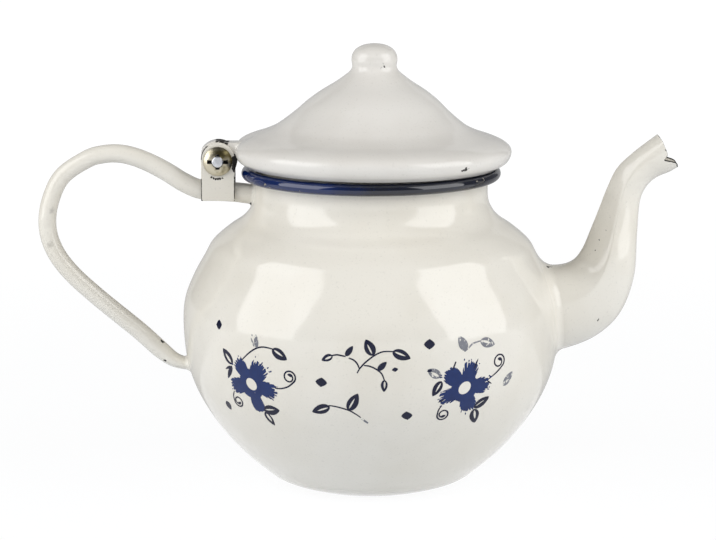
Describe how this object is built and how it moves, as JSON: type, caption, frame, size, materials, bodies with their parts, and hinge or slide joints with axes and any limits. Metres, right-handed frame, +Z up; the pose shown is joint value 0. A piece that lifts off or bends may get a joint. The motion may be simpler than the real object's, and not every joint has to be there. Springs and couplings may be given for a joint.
{
  "type": "enamel teapot",
  "caption": "Round-bellied enamelled steel teapot with swan-neck spout, rolled tube handle and domed lid hinged on the handle.",
  "frame": {"origin": "centre of the pot's flat foot, on the axis of the belly", "axes": "+Z up, spout towards +X, handle towards -X, near side with the printed sprigs towards -Y"},
  "size_m": [0.2326, 0.1372, 0.1617],
  "materials": {
    "pot_enamel": "glossy cream vitreous enamel on steel",
    "lid_enamel": "glossy cream vitreous enamel on steel",
    "rim_enamel": "glossy dark blue vitreous enamel on steel",
    "pin_steel": "bright drawn wire",
    "cap_metal": "pressed, dull nickel over brass"
  },
  "bodies": {
    "pot": {"body_bowl": "pot_enamel", "body_shoulder": "pot_enamel", "rim_ring": "rim_enamel", "spout_near_half": "pot_enamel", "spout_far_half": "pot_enamel", "handle_tube": "pot_enamel", "hinge_ear_near": "pot_enamel", "hinge_ear_far": "pot_enamel", "hinge_pin": "pin_steel", "pin_cap_near": "cap_metal", "pin_cap_far": "cap_metal"},
    "lid": {"lid_shell": "lid_enamel", "lid_knob": "lid_enamel", "lid_collar": "lid_enamel", "lid_hinge_lug": "lid_enamel"}
  },
  "joints": [
    {"name": "lid_hinge", "type": "hinge", "parent": "pot", "child": "lid", "pos_m": [-0.0555, 0, 0.11925], "axis": [0, -1, 0], "range_deg": [0, 134]}
  ]
}
